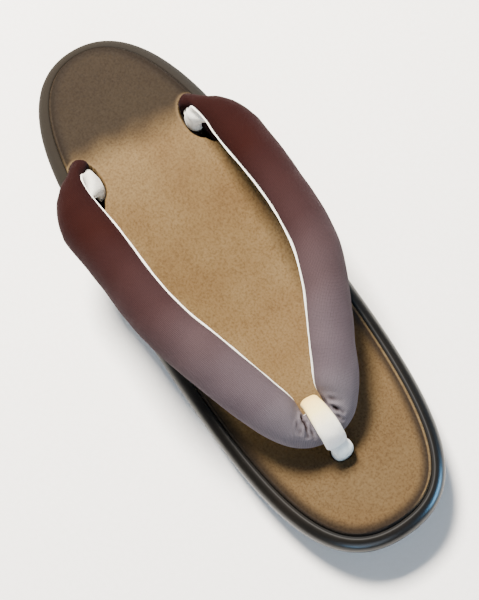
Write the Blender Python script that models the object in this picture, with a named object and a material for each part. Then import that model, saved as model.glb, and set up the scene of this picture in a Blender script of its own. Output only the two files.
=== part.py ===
# Zori sandal: a wedge sole with a padded V-shaped strap and a toe post.
# Metres. +X runs from heel to toe, +Y to the wearer's left, +Z up.
# The origin is on the floor, under the middle of the sandal.

from collections import namedtuple
from math import cos, pi, radians, sin

import bmesh
import bpy
from mathutils import Vector

MM = 0.001

# Sole
LENGTH = 240 * MM
HEEL_WIDTH = 73.2 * MM
BALL_WIDTH = 78.8 * MM
HEEL_HEIGHT = 30 * MM
FOREFOOT_HEIGHT = 18 * MM
SLOPE_START = 60 * MM
SLOPE_END = 152 * MM
TOE_SPRING = 3.2 * MM
TOE_SPRING_LENGTH = 42 * MM
HEEL_BEVEL = 0.9 * MM
HEEL_BEVEL_LENGTH = 10 * MM
ARCH_RISE = 1.4 * MM
ARCH_START = 84 * MM
ARCH_END = 132 * MM

# Side of the sole
OUTSOLE_THICKNESS = 2.6 * MM
OUTSOLE_INSET = 2.6 * MM
OUTSOLE_CHAMFER = 0.6 * MM
UNDERCUT = 2.2 * MM
UNDERCUT_CURVE = 1.4
NOSE_DEPTH = 6.2 * MM
RIM_WIDTH = 5.0 * MM
RIM_DROP = 1.7 * MM
RIM_ROUND = 0.5 * MM
FOOTBED_THICKNESS = 4.2 * MM
SHOULDER_WIDTH = 3.8 * MM
SHOULDER_DROP = 1.9 * MM

# Strap, its white backing, and the slots that take its ends
STRAP_WIDTH = 20.5 * MM
STRAP_PAD = 10 * MM
STRAP_ARCH = 22 * MM
PAD_FULLNESS = 0.85
BACKING_BULGE = 5.0 * MM
BACKING_MARGIN = 0.7 * MM
BACKING_SHEET = 1.3 * MM
BACKING_FULLNESS = 0.6
SLOT_ALONG = 61 * MM
SLOT_OUT = 26 * MM
SLOT_LENGTH = 22.6 * MM
SLOT_PAD = 5.6 * MM
SLOT_RISE = 0.4 * MM
PLUG_DEPTH = 9 * MM
REAR_OUT = -1.4 * MM
REAR_LEAN = 69 * MM
REAR_LEAN_END = 106 * MM

# Junction of the arms, the loop over it and the post below it
NECK_ALONG = 191.3 * MM
NECK_OUT = -3.4 * MM
LEAN_START = 138 * MM
NECK_RISE = 8.6 * MM
NECK_LENGTH = 12.6 * MM
NECK_PAD = 5.2 * MM
NECK_TILT = 24
NECK_TRIM = 0.6
LOOP_WIDTH = 8.8 * MM
LOOP_THICKNESS = 3.4 * MM
POST_ALONG = 201.6 * MM
POST_OUT = -2.2 * MM
POST_WIDTH = 8.0 * MM
POST_THICKNESS = 6.8 * MM
POST_PLUG_DEPTH = 8 * MM
POST_TOP_SHARE = 0.86

# Clearances and mesh density
GAP = 0.3 * MM
OUTLINE_STEPS = 15
CAP_COLUMNS = 4
WALL_STEPS = 3
ROUND_STEPS = 5
ARM_STEPS = 3
PAD_STEPS = 14
BACKING_STEPS = 8
LOOP_STEPS = 2
FLAT_SHARES = (-0.25, 0.0, 0.25)

# Half of the sole's outline: a row for each point that it passes, from heel to toe.
# along, back and ahead are shares of LENGTH, width is a share of half the named width,
# and the handles of the two tips run sideways, as shares of the same half width.
OutlineRow = namedtuple("OutlineRow", "name along width back ahead")
OUTLINE = (
    OutlineRow("heel tip", 0.0, 0.0, 0.0, 0.91),
    OutlineRow("heel", 0.302, 1.0, 0.081, 0.101),
    OutlineRow("ball", 0.556, 1.0, 0.142, 0.293),
    OutlineRow("toe tip", 1.0, 0.0, 0.875, 0.0),
)

# One arm of the strap, from its slot to the junction. along is a share of the way from
# slot to junction, out a share of half BALL_WIDTH, rise a share of STRAP_ARCH above the
# tread, width and pad shares of STRAP_WIDTH and STRAP_PAD, backing of BACKING_BULGE.
# tilt lifts the line from lower to upper edge off level; turn swings it from pointing
# inwards (0) to pointing at the heel (90). trim is the share of BACKING_MARGIN that shows.
ArmRow = namedtuple("ArmRow", "along out rise tilt turn width pad backing trim")
ARM = (
    ArmRow(0.005, 0.670, 0.175, 14, 80, 1.04, 0.58, 0.86, 0.0),
    ArmRow(0.026, 0.733, 0.270, 26, 66, 1.00, 0.66, 0.62, 0.1),
    ArmRow(0.056, 0.806, 0.315, 33, 48, 0.98, 0.82, 0.40, 0.4),
    ArmRow(0.093, 0.862, 0.330, 34, 29, 0.98, 0.95, 0.28, 0.8),
    ArmRow(0.130, 0.876, 0.345, 34, 14, 1.00, 1.00, 0.26, 1.0),
    ArmRow(0.224, 0.860, 0.475, 38, 5, 1.00, 1.00, 0.26, 1.0),
    ArmRow(0.340, 0.843, 0.620, 44, 4, 1.00, 1.00, 0.26, 1.0),
    ArmRow(0.455, 0.820, 0.810, 45, 7, 1.00, 1.00, 0.26, 1.0),
    ArmRow(0.579, 0.756, 0.950, 44, 14, 1.00, 1.00, 0.26, 1.0),
    ArmRow(0.700, 0.622, 0.960, 42, 21, 0.97, 0.97, 0.26, 1.0),
    ArmRow(0.817, 0.462, 0.790, 38, 26, 0.94, 0.94, 0.26, 1.0),
    ArmRow(0.900, 0.341, 0.615, 34, 33, 0.91, 0.92, 0.26, 1.0),
    ArmRow(0.948, 0.252, 0.495, 31, 46, 0.85, 0.85, 0.26, 0.8),
    ArmRow(0.978, 0.184, 0.440, 27, 66, 0.76, 0.69, 0.26, 0.6),
)

# Profile of the loop over the junction, seen from the side, from its rear end to its front
# end: angle round the junction's section, lift off the strap as a share of LOOP_THICKNESS,
# and width as a share of LOOP_WIDTH.
LoopRow = namedtuple("LoopRow", "angle lift width")
LOOP = (
    LoopRow(-40, 0.76, 0.74),
    LoopRow(-12, 0.72, 0.76),
    LoopRow(20, 0.66, 0.82),
    LoopRow(55, 0.60, 0.92),
    LoopRow(90, 0.56, 1.00),
    LoopRow(122, 0.56, 1.00),
    LoopRow(150, 0.60, 0.98),
)

# Post: a row for each level that it passes on its way from the hole to the loop's end.
# rise and girth are shares of that way and of the post's two widths; shift is forward,
# as a share of POST_THICKNESS.
PostRow = namedtuple("PostRow", "rise shift girth")
POST = (
    PostRow(0.06, 0.00, 1.00),
    PostRow(0.24, 0.03, 1.03),
    PostRow(0.46, 0.06, 1.00),
    PostRow(0.68, 0.05, 0.92),
)


def clear_scene():
    for old in list(bpy.data.objects):
        bpy.data.objects.remove(old, do_unlink=True)


def material(name, colour, roughness, metallic=0.0):
    made = bpy.data.materials.new(name)
    made.use_nodes = True
    shader = made.node_tree.nodes["Principled BSDF"]
    shader.inputs["Base Color"].default_value = (*colour, 1.0)
    shader.inputs["Roughness"].default_value = roughness
    shader.inputs["Metallic"].default_value = metallic
    return made


def smoothstep(value, start, end):
    share = min(max((value - start) / (end - start), 0.0), 1.0)
    return share * share * (3.0 - 2.0 * share)


def tread_height(along):
    """Height of the footbed's top at a distance from the heel tip."""
    fall = smoothstep(along, SLOPE_START, SLOPE_END)
    spring = toe_lift(along)
    return HEEL_HEIGHT + (FOREFOOT_HEIGHT - HEEL_HEIGHT) * fall + spring


def toe_lift(along):
    past = max(along - (LENGTH - TOE_SPRING_LENGTH), 0.0) / TOE_SPRING_LENGTH
    return TOE_SPRING * past * past


def ground_height(along):
    """Height of the outsole's underside: flat heel and ball, arch, raised tips."""
    bevel = max(HEEL_BEVEL_LENGTH - along, 0.0) / HEEL_BEVEL_LENGTH
    middle = (ARCH_START + ARCH_END) / 2
    arch = smoothstep(along, ARCH_START, middle) - smoothstep(along, middle, ARCH_END)
    return toe_lift(along) + HEEL_BEVEL * bevel * bevel + ARCH_RISE * arch


def bezier(first, second, third, last, share):
    rest = 1.0 - share
    return (
        first * rest**3
        + second * (3 * rest * rest * share)
        + third * (3 * rest * share * share)
        + last * share**3
    )


def half_outline():
    """Points of the left half, heel tip to toe tip, as (along, out)."""
    half_width = {"heel tip": HEEL_WIDTH / 2, "heel": HEEL_WIDTH / 2}
    half_width["ball"] = BALL_WIDTH / 2
    half_width["toe tip"] = BALL_WIDTH / 2
    points = []
    for start, end in zip(OUTLINE, OUTLINE[1:]):
        first = Vector((start.along * LENGTH, start.width * half_width[start.name]))
        last = Vector((end.along * LENGTH, end.width * half_width[end.name]))
        leave = Vector((start.ahead * LENGTH, 0.0))
        if start.name == "heel tip":
            leave = Vector((0.0, start.ahead * half_width[start.name]))
        arrive = Vector((-end.back * LENGTH, 0.0))
        if end.name == "toe tip":
            arrive = Vector((0.0, end.back * half_width[end.name]))
        for step in range(OUTLINE_STEPS):
            share = step / OUTLINE_STEPS
            points.append(bezier(first, first + leave, last + arrive, last, share))
    points.append(Vector((LENGTH, 0.0)))
    return points


def inset_outline(points, inset):
    """The half outline moved inwards by inset, point for point."""
    moved = []
    for index, point in enumerate(points):
        if index == 0:
            moved.append(Vector((inset, 0.0)))
        elif index == len(points) - 1:
            moved.append(Vector((LENGTH - inset, 0.0)))
        else:
            run = (points[index + 1] - points[index - 1]).normalized()
            moved.append(point + Vector((run.y, -run.x)) * inset)
    return moved


def along_to_x(along):
    return along - LENGTH / 2


def add_ring(mesh, half, level):
    """A closed ring of vertices: left half from heel to toe, then back on the right."""
    left = [(p.x, p.y) for p in half]
    right = [(p.x, -p.y) for p in reversed(half[1:-1])]
    return [mesh.verts.new((along_to_x(x), y, level(x))) for x, y in left + right]


def bridge(mesh, lower, upper):
    count = len(lower)
    for index in range(count):
        after = (index + 1) % count
        mesh.faces.new((lower[index], lower[after], upper[after], upper[index]))


def cap(mesh, ring, level):
    """Closes a ring with rows that run straight across the sole."""
    last = len(ring) // 2
    rows = [[ring[0]]]
    for index in range(1, last):
        left = ring[index]
        right = ring[-index]
        row = [left]
        for column in range(1, CAP_COLUMNS):
            spot = left.co.lerp(right.co, column / CAP_COLUMNS)
            spot.z = level(spot.x + LENGTH / 2)
            row.append(mesh.verts.new(spot))
        rows.append(row + [right])
    rows.append([ring[last]])
    for before, after in zip(rows, rows[1:]):
        if len(before) == 1:
            for left, right in zip(after, after[1:]):
                mesh.faces.new((before[0], left, right))
        elif len(after) == 1:
            for left, right in zip(before, before[1:]):
                mesh.faces.new((left, right, after[0]))
        else:
            for column in range(CAP_COLUMNS):
                corners = before[column : column + 2] + after[column : column + 2][::-1]
                mesh.faces.new(corners)


def finish(name, mesh, finish_material, sharp_angle=40):
    bmesh.ops.recalc_face_normals(mesh, faces=mesh.faces[:])
    data = bpy.data.meshes.new(name)
    mesh.to_mesh(data)
    mesh.free()
    data.shade_smooth()
    data.set_sharp_from_angle(angle=radians(sharp_angle))
    if finish_material:
        data.materials.append(finish_material)
    made = bpy.data.objects.new(name, data)
    bpy.context.scene.collection.objects.link(made)
    return made


def stacked_sole(name, profile, finish_material):
    """A closed body from rings: each row is an inset and a function of height."""
    half = half_outline()
    mesh = bmesh.new()
    rings = [add_ring(mesh, inset_outline(half, inset), level) for inset, level in profile]
    for lower, upper in zip(rings, rings[1:]):
        bridge(mesh, lower, upper)
    cap(mesh, rings[0], profile[0][1])
    cap(mesh, rings[-1], profile[-1][1])
    return finish(name, mesh, finish_material)


def above_ground(offset):
    return lambda along: ground_height(along) + offset


def below_tread(offset):
    return lambda along: tread_height(along) - offset


def wall_level(share, bottom):
    """Between the base's underside and the widest line of its nose."""

    def level(along):
        low = ground_height(along) + bottom
        high = tread_height(along) - NOSE_DEPTH
        return low + (high - low) * share

    return level


def make_outsole(rubber):
    profile = [
        (OUTSOLE_INSET + OUTSOLE_CHAMFER, above_ground(0.0)),
        (OUTSOLE_INSET, above_ground(OUTSOLE_CHAMFER)),
        (OUTSOLE_INSET, above_ground(OUTSOLE_THICKNESS)),
    ]
    return stacked_sole("outsole", profile, rubber)


def make_base(wrap):
    bottom = OUTSOLE_THICKNESS + GAP
    profile = []
    for step in range(WALL_STEPS):
        share = step / WALL_STEPS
        profile.append((UNDERCUT * (1 - share) ** UNDERCUT_CURVE, wall_level(share, bottom)))
    for step in range(ROUND_STEPS + 1):
        turn = pi / 2 * step / ROUND_STEPS
        inset = (RIM_WIDTH - RIM_ROUND) * (1 - cos(turn))
        drop = NOSE_DEPTH - (NOSE_DEPTH - RIM_DROP) * sin(turn)
        profile.append((inset, below_tread(drop)))
    profile.append((RIM_WIDTH, below_tread(RIM_DROP + RIM_ROUND)))
    profile.append((RIM_WIDTH, below_tread(FOOTBED_THICKNESS + GAP)))
    return stacked_sole("base", profile, wrap)


def make_footbed(leather):
    edge = RIM_WIDTH + GAP
    profile = [
        (edge, below_tread(FOOTBED_THICKNESS)),
        (edge, below_tread(SHOULDER_DROP)),
    ]
    for step in range(1, ROUND_STEPS + 1):
        turn = pi / 2 * step / ROUND_STEPS
        inset = edge + SHOULDER_WIDTH * (1 - cos(turn))
        profile.append((inset, below_tread(SHOULDER_DROP * (1 - sin(turn)))))
    return stacked_sole("footbed", profile, leather)


def spline(rows, steps):
    """Points between rows of equal length, on a Catmull-Rom curve through all of them."""
    padded = [rows[0], *rows, rows[-1]]
    made = []
    for index in range(1, len(padded) - 2):
        for step in range(steps):
            t = step / steps
            made.append(
                [
                    0.5
                    * (
                        2 * b
                        + (c - a) * t
                        + (2 * a - 5 * b + 4 * c - d) * t * t
                        + (3 * b - 3 * c + d - a) * t**3
                    )
                    for a, b, c, d in zip(*padded[index - 1 : index + 3])
                ]
            )
    made.append(list(rows[-1]))
    return made


Section = namedtuple("Section", "centre across outward width pad backing margin")


def across_line(tilt, turn):
    """From the lower or outer edge of the left arm to its upper or inner edge."""
    level = cos(radians(tilt))
    side = radians(turn)
    return Vector((-level * sin(side), -level * cos(side), sin(radians(tilt))))


def arm_rows():
    """Rows of the arm in metres, with the values in the order of ArmRow after out."""
    slot = (SLOT_ALONG, SLOT_OUT, tread_height(SLOT_ALONG) + SLOT_RISE)
    rows = [(*slot, 0, 90, SLOT_LENGTH, SLOT_PAD, BACKING_BULGE, 0)]
    for row in ARM:
        along = SLOT_ALONG + (NECK_ALONG - SLOT_ALONG) * row.along
        level = tread_height(along) + row.rise * STRAP_ARCH
        centre = (along, row.out * BALL_WIDTH / 2, level)
        girth = (row.width * STRAP_WIDTH, row.pad * STRAP_PAD)
        back = (row.backing * BACKING_BULGE, row.trim * BACKING_MARGIN)
        rows.append((*centre, row.tilt, row.turn, *girth, *back))
    neck = (NECK_ALONG, LOOP_WIDTH / 2, tread_height(NECK_ALONG) + NECK_RISE)
    back = (BACKING_SHEET, NECK_TRIM * BACKING_MARGIN)
    rows.append((*neck, NECK_TILT, 90, NECK_LENGTH, NECK_PAD, *back))
    return rows


def arm_sections():
    """Sections of the left arm, from the bottom of its plug to past the junction."""
    rows = spline(arm_rows(), ARM_STEPS)
    centres = [Vector((along_to_x(row[0]), row[1], row[2])) for row in rows]
    sections = []
    for index, row in enumerate(rows):
        if index == 0:
            run = Vector((0, 0, 1))
        elif index == len(rows) - 1:
            run = Vector((0, -1, 0))
        else:
            run = centres[index + 1] - centres[index - 1]
        across = across_line(row[3], row[4])
        outward = across.cross(run).normalized()
        sections.append(Section(centres[index], across, outward, *row[5:9]))
    first = sections[0]
    sunk = Vector((0, 0, tread_height(SLOT_ALONG) - PLUG_DEPTH - first.centre.z))
    last = sections[-1]
    middle = Vector((last.centre.x, 0, last.centre.z))
    past = Vector((last.centre.x, -last.centre.y, last.centre.z))
    return [
        first._replace(centre=first.centre + sunk),
        *sections,
        last._replace(centre=middle),
        last._replace(centre=past),
    ]


def bulge(turn, fullness):
    """Height of a rounded side as a share, from edge (0) over its middle to edge (pi)."""
    return abs(sin(turn)) ** fullness


def pad_ring(sections, index):
    """D-shaped: a flat face against the backing and a round padded face outside."""
    section = sections[index]
    ring = []
    for step in range(PAD_STEPS + 1):
        turn = pi * step / PAD_STEPS
        wide = cos(turn) * section.width / 2
        out = bulge(turn, PAD_FULLNESS) * section.pad
        ring.append(section.centre + section.across * wide + section.outward * out)
    for share in FLAT_SHARES:
        ring.append(section.centre + section.across * (share * section.width))
    return ring


def behind(sections, index, wide, depth):
    """The point at a depth square to the strap's flat face, wide off its middle line."""
    before, section, after = (sections[max(index - 1, 0)], *sections[index : index + 2])
    run = after.centre + after.across * wide - before.centre - before.across * wide
    square = section.across.cross(run).normalized()
    return section.centre + section.across * wide - square * depth


def backing_ring(sections, index):
    """A strip behind the flat face; its margin stands past both edges of the strap."""
    section = sections[index]
    half = section.width / 2 + section.margin
    ring = []
    for step in range(BACKING_STEPS + 1):
        turn = pi * step / BACKING_STEPS
        depth = GAP + bulge(turn, BACKING_FULLNESS) * section.backing
        ring.append(behind(sections, index, cos(turn) * half, depth))
    for share in FLAT_SHARES:
        ring.append(behind(sections, index, share * section.width, GAP))
    return ring


def mirrored(ring):
    return [Vector((point.x, -point.y, point.z)) for point in ring]


def leaning(ring, along):
    """Moves a ring towards the right, where the strap has settled at its rear and front."""
    rear = smoothstep(along, SLOT_ALONG, REAR_LEAN)
    rear -= smoothstep(along, REAR_LEAN, REAR_LEAN_END)
    moved = []
    for point in ring:
        settled = NECK_ALONG - NECK_LENGTH / 2
        front = smoothstep(point.x + LENGTH / 2, LEAN_START, settled)
        moved.append(point + Vector((0, REAR_OUT * rear + NECK_OUT * front, 0)))
    return moved


def loft(name, rings, finish_material, sharp_angle=50):
    mesh = bmesh.new()
    loops = [[mesh.verts.new(point) for point in ring] for ring in rings]
    for lower, upper in zip(loops, loops[1:]):
        bridge(mesh, lower, upper)
    mesh.faces.new(loops[0])
    mesh.faces.new(loops[-1])
    return finish(name, mesh, finish_material, sharp_angle)


def both_arms(name, ring_of, finish_material):
    """One body: up the left arm, through the junction and down the right arm."""
    sections = arm_sections()
    left = [ring_of(sections, index) for index in range(len(sections) - 1)]
    right = [mirrored(ring) for ring in reversed(left[:-1])]
    places = [section.centre.x + LENGTH / 2 for section in sections[:-1]]
    places += reversed(places[:-1])
    rings = [leaning(ring, along) for ring, along in zip(left + right, places)]
    return loft(name, rings, finish_material)


def oval_ring(centre, normal, width, thickness):
    """A ring of the loop or the post: width runs sideways, thickness along the normal."""
    ring = []
    for step in range(PAD_STEPS):
        turn = 2 * pi * step / PAD_STEPS
        side = Vector((0, cos(turn) * width / 2, 0))
        ring.append(centre + side + normal * (sin(turn) * thickness / 2))
    return ring


def loop_spot(row):
    """Centre and outer direction of the loop at a row of its profile."""
    neck = arm_sections()[-2]
    turn = radians(row.angle)
    reach = GAP + row.lift * LOOP_THICKNESS
    radius = neck.width / 2 + neck.margin + reach
    height = neck.pad + reach
    if turn < 0:
        height = GAP + neck.backing + reach
    settled = neck.centre + Vector((0, NECK_OUT, 0))
    run = neck.across * (cos(turn) * radius)
    rise = neck.outward * (sin(turn) * height)
    normal = neck.across * (cos(turn) / radius) + neck.outward * (sin(turn) / height)
    return settled + run + rise, normal.normalized()


def make_loop(cloth):
    """The loop over the junction: a flat padded strip bent round the strap."""
    rings = []
    for values in spline(LOOP, LOOP_STEPS):
        row = LoopRow(*values)
        centre, normal = loop_spot(row)
        rings.append(oval_ring(centre, normal, row.width * LOOP_WIDTH, LOOP_THICKNESS))
    return loft("front_loop", rings, cloth)


def post_ring(level, shift, girth, extra=0.0):
    centre = Vector((along_to_x(POST_ALONG) + shift, POST_OUT, level))
    width = girth * POST_WIDTH + 2 * extra
    thickness = girth * POST_THICKNESS + 2 * extra
    return oval_ring(centre, Vector((1, 0, 0)), width, thickness)


def make_post(cloth):
    """The post: upright in its hole, and bent at the top to meet the loop's end."""
    floor = tread_height(POST_ALONG)
    end, normal = loop_spot(LOOP[-1])
    past = normal.cross(Vector((0, 1, 0)))
    top = end - past * GAP
    rings = [post_ring(floor - POST_PLUG_DEPTH, 0.0, 1.0)]
    for row in POST:
        level = floor + row.rise * (top.z - floor)
        rings.append(post_ring(level, row.shift * POST_THICKNESS, row.girth))
    width = POST_TOP_SHARE * LOOP[-1].width * LOOP_WIDTH
    rings.append(oval_ring(top, normal, width, POST_TOP_SHARE * LOOP_THICKNESS))
    return loft("front_post", rings, cloth)


def cutter(name, rings):
    made = loft(name, rings, None)
    made.data.shade_flat()
    made.hide_render = True
    made.display_type = "WIRE"
    return made


def slot_cutter(name, side):
    """An upright oval round the strap's end and its backing, with clearance."""
    section = arm_sections()[0]
    outline = []
    for step in range(2 * PAD_STEPS):
        turn = pi * step / PAD_STEPS
        along = cos(turn) * (section.width / 2 + GAP)
        out = bulge(turn, PAD_FULLNESS) * (section.pad + GAP)
        if turn > pi:
            out = -bulge(turn, BACKING_FULLNESS) * (section.backing + GAP) - GAP
        centre = section.centre
        outline.append(Vector((centre.x + along, side * (centre.y + out), 0.0)))
    floor = tread_height(SLOT_ALONG) - PLUG_DEPTH - GAP
    rings = [
        [point + Vector((0, 0, level)) for point in outline]
        for level in (floor, HEEL_HEIGHT + PLUG_DEPTH)
    ]
    return cutter(name, rings)


def post_cutter():
    base = tread_height(POST_ALONG)
    rings = [
        post_ring(base - POST_PLUG_DEPTH - GAP, 0.0, 1.0, GAP),
        post_ring(base + POST_PLUG_DEPTH, 0.0, 1.0, GAP),
    ]
    return cutter("post_hole_cutter", rings)


def cut(piece, cutters):
    for other in cutters:
        hole = piece.modifiers.new(other.name, "BOOLEAN")
        hole.operation = "DIFFERENCE"
        hole.solver = "EXACT"
        hole.object = other


def main():
    clear_scene()
    rubber = material("sole rubber", (0.03, 0.026, 0.022), 0.7)
    wrap = material("dark wrapped side", (0.022, 0.017, 0.013), 0.25)
    leather = material("bronze footbed leather", (0.38, 0.24, 0.115), 0.42, 0.35)
    silk = material("shaded strap cloth", (0.14, 0.062, 0.062), 0.75)
    felt = material("white backing felt", (0.84, 0.86, 0.83), 0.9)
    cloth = material("white post cloth", (0.86, 0.87, 0.84), 0.85)

    make_outsole(rubber)
    base = make_base(wrap)
    footbed = make_footbed(leather)
    both_arms("strap", pad_ring, silk)
    both_arms("strap_backing", backing_ring, felt)
    make_loop(cloth)
    make_post(cloth)

    cutters = [
        slot_cutter("left_slot_cutter", 1),
        slot_cutter("right_slot_cutter", -1),
        post_cutter(),
    ]
    cut(base, cutters)
    cut(footbed, cutters)


main()
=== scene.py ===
"""Zori sandal: padded V strap on a low wedge sole, seen from above its toe."""

from bisect import bisect
from collections import namedtuple
from math import copysign, cos, exp, hypot, pi, radians, sin

import bmesh
import bpy
from mathutils import Matrix, Vector, noise
from mathutils.kdtree import KDTree


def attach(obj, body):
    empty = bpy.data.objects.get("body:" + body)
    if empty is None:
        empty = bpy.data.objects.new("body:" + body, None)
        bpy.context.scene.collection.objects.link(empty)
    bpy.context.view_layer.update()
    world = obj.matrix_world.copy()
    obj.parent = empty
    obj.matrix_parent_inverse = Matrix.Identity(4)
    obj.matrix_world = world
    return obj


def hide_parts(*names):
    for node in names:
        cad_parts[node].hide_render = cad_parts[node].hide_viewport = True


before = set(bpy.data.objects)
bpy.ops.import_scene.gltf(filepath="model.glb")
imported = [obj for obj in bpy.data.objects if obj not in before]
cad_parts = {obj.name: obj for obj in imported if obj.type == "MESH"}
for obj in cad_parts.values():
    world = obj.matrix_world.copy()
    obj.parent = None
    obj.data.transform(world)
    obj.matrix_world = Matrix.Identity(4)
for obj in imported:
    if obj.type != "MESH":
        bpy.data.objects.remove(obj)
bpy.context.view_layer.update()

MM = 0.001
PER_METRE = 1 / MM
TINY = 1e-12

# Sole, with the same sizes as the solids
LENGTH = 240 * MM
HEEL_WIDTH = 73.2 * MM
BALL_WIDTH = 78.8 * MM
HEEL_HEIGHT = 30 * MM
FOREFOOT_HEIGHT = 18 * MM
SLOPE_START = 60 * MM
SLOPE_END = 152 * MM
TOE_SPRING = 3.2 * MM
TOE_SPRING_LENGTH = 42 * MM
HEEL_BEVEL = 0.9 * MM
HEEL_BEVEL_LENGTH = 10 * MM
ARCH_RISE = 1.4 * MM
ARCH_START = 84 * MM
ARCH_END = 132 * MM
OUTSOLE_THICKNESS = 2.6 * MM
UNDERCUT = 2.2 * MM
UNDERCUT_CURVE = 1.4
NOSE_DEPTH = 6.2 * MM
RIM_WIDTH = 5.0 * MM
RIM_DROP = 1.7 * MM
RIM_ROUND = 0.5 * MM
FOOTBED_THICKNESS = 4.2 * MM
GAP = 0.3 * MM

# Wrapped side
OUTLINE_STEPS = 70
WALL_STEPS = 9
NOSE_STEPS = 12
# how far in from the wall's foot the wrap runs on under the sole
WRAP_STARTS = (1.2 * MM, 0.4 * MM)
# how far the rim presses into the bed, and how it turns down there: short of it, and down
BED_PRESS = 0.06 * MM
RIM_TURN = ((0.35 * MM, 0.10 * MM), (0.10 * MM, 0.35 * MM), (0.0, 0.75 * MM))
# rings where the wrap is dull: low on the wall, and beside the bed
LOW_RINGS = 8
INNER_RINGS = 5

# Strap, backing, loop and post
STRAP_WIDTH = 20.5 * MM
STRAP_PAD = 10 * MM
STRAP_ARCH = 22 * MM
PAD_FULLNESS = 0.85
BACKING_BULGE = 5.0 * MM
BACKING_MARGIN = 0.7 * MM
BACKING_SHEET = 1.3 * MM
BACKING_FULLNESS = 0.6
HEEL_ROLL = 4.6 * MM
EDGE_SHARE = 0.3
EDGE_WAVE = 0.22 * MM
EDGE_WAVE_LENGTH = 5 * MM
NUB_HEEL_TRIM = 0.24
LEFT_NUB_TRIM = 0.36
RIGHT_NUB_TRIM = 0.18
SLOT_ALONG = 61 * MM
SLOT_OUT = 26 * MM
SLOT_LENGTH = 22.6 * MM
SLOT_PAD = 5.6 * MM
SLOT_RISE = 0.4 * MM
PLUG_DEPTH = 9 * MM
REAR_OUT = -1.4 * MM
REAR_LEAN = 69 * MM
REAR_LEAN_END = 106 * MM
NECK_ALONG = 191.3 * MM
NECK_OUT = -3.4 * MM
LEAN_START = 138 * MM
NECK_RISE = 8.6 * MM
NECK_LENGTH = 12.6 * MM
NECK_PAD = 5.2 * MM
NECK_TILT = 24
NECK_TRIM = 0.6
LOOP_WIDTH = 8.8 * MM
LOOP_THICKNESS = 3.4 * MM
POST_ALONG = 201.6 * MM
POST_OUT = -2.2 * MM
POST_WIDTH = 8.0 * MM
POST_THICKNESS = 6.8 * MM
POST_PLUG_DEPTH = 8 * MM
POST_TOP_SHARE = 0.86

# Rings and points that the soft pieces are drawn with
ARM_STEPS = 8
PLUG_SHARES = (1.0, 0.66, 0.33)
BRIDGE_SHARES = (0.66, 0.33, 0.0, -0.33)
PAD_STEPS = 30
BACKING_STEPS = 14
LOOP_STEPS = 8
POST_STEPS = 5
OVAL_STEPS = 28
OVAL_FULLNESS = 0.8
# places on the pad's flat face in shares of its width, with how far the heel edge rolls there
HEEL_EDGE = ((0.0, 0.0), (0.17, 0.0), (0.23, 0.7), (0.33, 1.0), (0.44, 0.72))
TOE_EDGE = (-0.38, -0.2)

# Unevenness of the stuffing: its height, and how far apart its swellings are
STRAP_UNEVEN = (0.28 * MM, 9 * MM)
BACKING_UNEVEN = (0.10 * MM, 4 * MM)
LOOP_UNEVEN = (0.12 * MM, 3 * MM)
POST_UNEVEN = (0.10 * MM, 3 * MM)

# Top sheet: the shoulder and bead at its edge, the slots and their lips, and the post's hole
BORDER_STEPS = 240
BED_ROWS = 340
BED_COLUMNS = 110
BED_SWELL = 0.15 * MM
BED_SWELL_REACH = 30 * MM
SHARP_ANGLE = 60
SHOULDER_WIDTH = 3.8 * MM
SHOULDER_DROP = 1.9 * MM
BEAD_PLACE = 0.5 * MM
BEAD_WIDTH = 0.45 * MM
BEAD_HEIGHT = 0.35 * MM
SLOT_END_MARGIN = 0.6 * MM
SLOT_OUTER_MARGIN = 0.8 * MM
SLOT_INNER_MARGIN = 1.1 * MM
SLOT_TOE_CUT = 2.8 * MM
SLOT_TOE_CURVE = 2.5 * MM
HOLE_MARGIN = 0.4 * MM
LEAST_SPREAD = 0.05
SINK_START = -0.3 * MM
SINK_END = 0.6 * MM
SINK_DEPTH = 2.9 * MM
LIP_PLACE = 0.8 * MM
LIP_WIDTH = 0.7 * MM
LIP_HEIGHT = 0.45 * MM
LIP_FULL = SLOT_ALONG - 8 * MM
LIP_GONE = SLOT_ALONG + 6 * MM
DIP_DEPTH = 0.5 * MM
DIP_WIDTH = 2.4 * MM

# The outline's stations: place and half width in shares of the whole, and how far the curve
# keeps its direction behind and ahead of them
OutlineRow = namedtuple("OutlineRow", "name along width back ahead")
OUTLINE = (
    OutlineRow("heel tip", 0.0, 0.0, 0.0, 0.91),
    OutlineRow("heel", 0.302, 1.0, 0.081, 0.101),
    OutlineRow("ball", 0.556, 1.0, 0.142, 0.293),
    OutlineRow("toe tip", 1.0, 0.0, 0.875, 0.0),
)

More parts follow.
